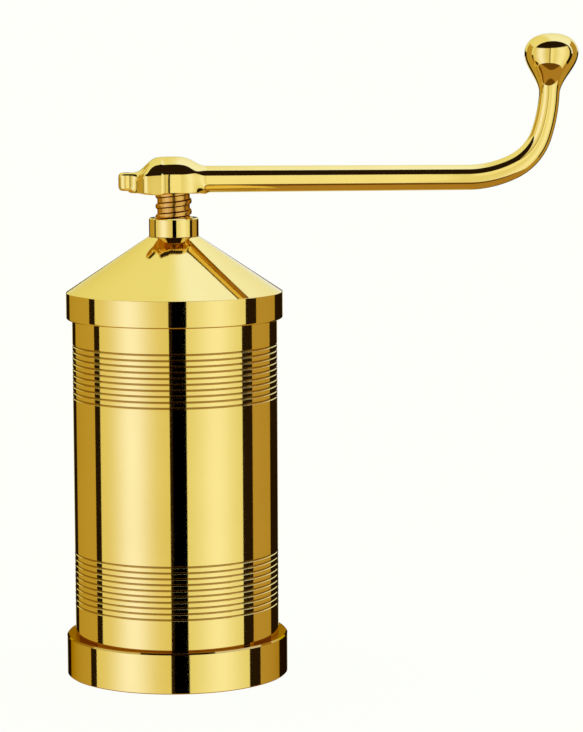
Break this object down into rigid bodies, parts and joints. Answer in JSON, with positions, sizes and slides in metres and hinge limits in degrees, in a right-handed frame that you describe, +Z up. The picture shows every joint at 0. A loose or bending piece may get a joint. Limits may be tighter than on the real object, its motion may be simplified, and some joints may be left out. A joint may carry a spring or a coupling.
{
  "type": "hand coffee mill",
  "caption": "Tall hand coffee mill: tube body with a cone lid and push-fit base cup, adjuster nut, screwed spindle, cone burrs, and a cast crank with an upturned pear knob.",
  "frame": {"origin": "centre of the base cup's flat underside, on the spindle's axis", "axes": "+Z up along the spindle, +X along the crank's arm at rest, -Y towards the front"},
  "size_m": [0.1619, 0.07, 0.2015],
  "materials": {
    "polished_brass": "mirror polished",
    "cast_brass": "cast and mirror polished",
    "spindle_brass": "turned, thread cut",
    "turned_brass": "turned, unpolished",
    "bush_bronze": "turned bronze",
    "burr_steel": "hardened, ground",
    "bridge_steel": "pressed strip",
    "spring_steel": "drawn wire and strip",
    "screw_steel": "machined"
  },
  "bodies": {
    "base": {"base_cup": "polished_brass"},
    "housing": {"body_tube": "polished_brass", "burr_carrier": "turned_brass", "retaining_ring": "spring_steel", "outer_burr": "burr_steel", "burr_screws": "screw_steel", "upper_bridge": "bridge_steel", "upper_bush": "bush_bronze", "upper_bridge_screws": "screw_steel", "lower_bridge": "bridge_steel", "lower_bush": "bush_bronze", "lower_bridge_screws": "screw_steel"},
    "lid": {"cone_lid": "polished_brass", "lid_bush": "bush_bronze"},
    "top_washer": {"thrust_washer": "burr_steel"},
    "nut": {"adjuster_nut": "polished_brass"},
    "crank": {"crank": "cast_brass"},
    "spring_washer": {"spring_washer": "bridge_steel", "burr_spring": "spring_steel"},
    "spindle": {"spindle": "spindle_brass", "inner_burr": "burr_steel", "burr_key": "burr_steel", "burr_washer": "screw_steel", "burr_nut": "screw_steel"}
  },
  "joints": [
    {"name": "housing_lift", "type": "slide", "parent": "base", "child": "housing", "axis": [0, 0, 1], "range_m": [0, 0.03]},
    {"name": "lid_lift", "type": "slide", "parent": "housing", "child": "lid", "axis": [0, 0, 1], "range_m": [0, 0.06]},
    {"name": "crank_spin", "type": "hinge", "parent": "lid", "child": "top_washer", "pos_m": [0, 0, 0.138], "axis": [0, 0, 1], "continuous": true},
    {"name": "adjuster_turn", "type": "hinge", "parent": "top_washer", "child": "nut", "pos_m": [0, 0, 0.14], "axis": [0, 0, 1], "range_deg": [-90, 270]},
    {"name": "crank_rise", "type": "slide", "parent": "top_washer", "child": "crank", "axis": [0, 0, 1], "range_m": [-0.0024, 0.0008]},
    {"name": "spindle_spin", "type": "hinge", "parent": "housing", "child": "spring_washer", "pos_m": [0, 0, 0.075], "axis": [0, 0, 1], "continuous": true},
    {"name": "burr_lift", "type": "slide", "parent": "spring_washer", "child": "spindle", "axis": [0, 0, 1], "range_m": [-0.0024, 0.0008], "deforming": ["burr_spring"]}
  ],
  "couplings": [
    {"joint": "adjuster_turn", "follows": "crank_rise", "rad_per_m": -1904},
    {"joint": "burr_lift", "follows": "crank_rise", "ratio": 1},
    {"joint": "spindle_spin", "follows": "crank_spin", "ratio": 1}
  ]
}
